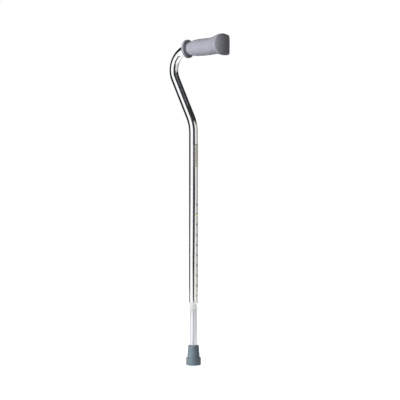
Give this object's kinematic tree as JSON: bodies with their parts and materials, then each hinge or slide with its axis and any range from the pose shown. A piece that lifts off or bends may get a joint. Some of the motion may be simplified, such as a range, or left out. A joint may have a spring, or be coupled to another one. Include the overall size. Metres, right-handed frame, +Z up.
{
  "type": "single point cane",
  "caption": "Walking cane with a bent tube shaft, a contoured level hand grip, a spring button that sets its height, a locking ring and a rubber tip.",
  "frame": {"origin": "centre of the rubber tip's ground face, on the axis of the straight shaft", "axes": "+Z up the straight shaft, +X towards the back end of the hand grip and the side of the setting holes, +Y across the handle"},
  "size_m": [0.1814, 0.0602, 0.8246],
  "materials": {
    "polished_tube": "polished and bright anodised",
    "satin_tube": "drawn, clear anodised",
    "grip_vinyl": "matt moulded vinyl",
    "label_film": "printed film, left blank",
    "white_nylon": "moulded",
    "spring_steel": "tempered strip",
    "button_brass": "turned",
    "tip_rubber": "matt moulded",
    "washer_steel": "zinc plated"
  },
  "bodies": {
    "lower_leg": {"lower_tube": "satin_tube", "guide_plug": "white_nylon", "leaf_spring": "spring_steel", "rubber_tip": "tip_rubber", "tip_washer": "washer_steel"},
    "handle_shaft": {"upper_tube": "polished_tube", "hand_grip": "grip_vinyl", "shaft_label": "label_film", "collet_bushing": "white_nylon"},
    "lock_ring": {"lock_ring": "white_nylon"},
    "snap_button": {"snap_button": "button_brass"}
  },
  "joints": [
    {"name": "height_slide", "type": "slide", "parent": "lower_leg", "child": "handle_shaft", "axis": [0, 0, 1], "range_m": [-0.0254, 0.2032], "deforming": ["leaf_spring", "snap_button"]},
    {"name": "button_press", "type": "slide", "parent": "lower_leg", "child": "snap_button", "axis": [-1, 0, 0], "range_m": [0, 0.0042], "stiffness_N_per_m": 2500, "springref_m": -0.002},
    {"name": "ring_turn", "type": "hinge", "parent": "handle_shaft", "child": "lock_ring", "pos_m": [0, 0, 0.15], "axis": [0, 0, 1], "range_deg": [-90, 0]}
  ]
}
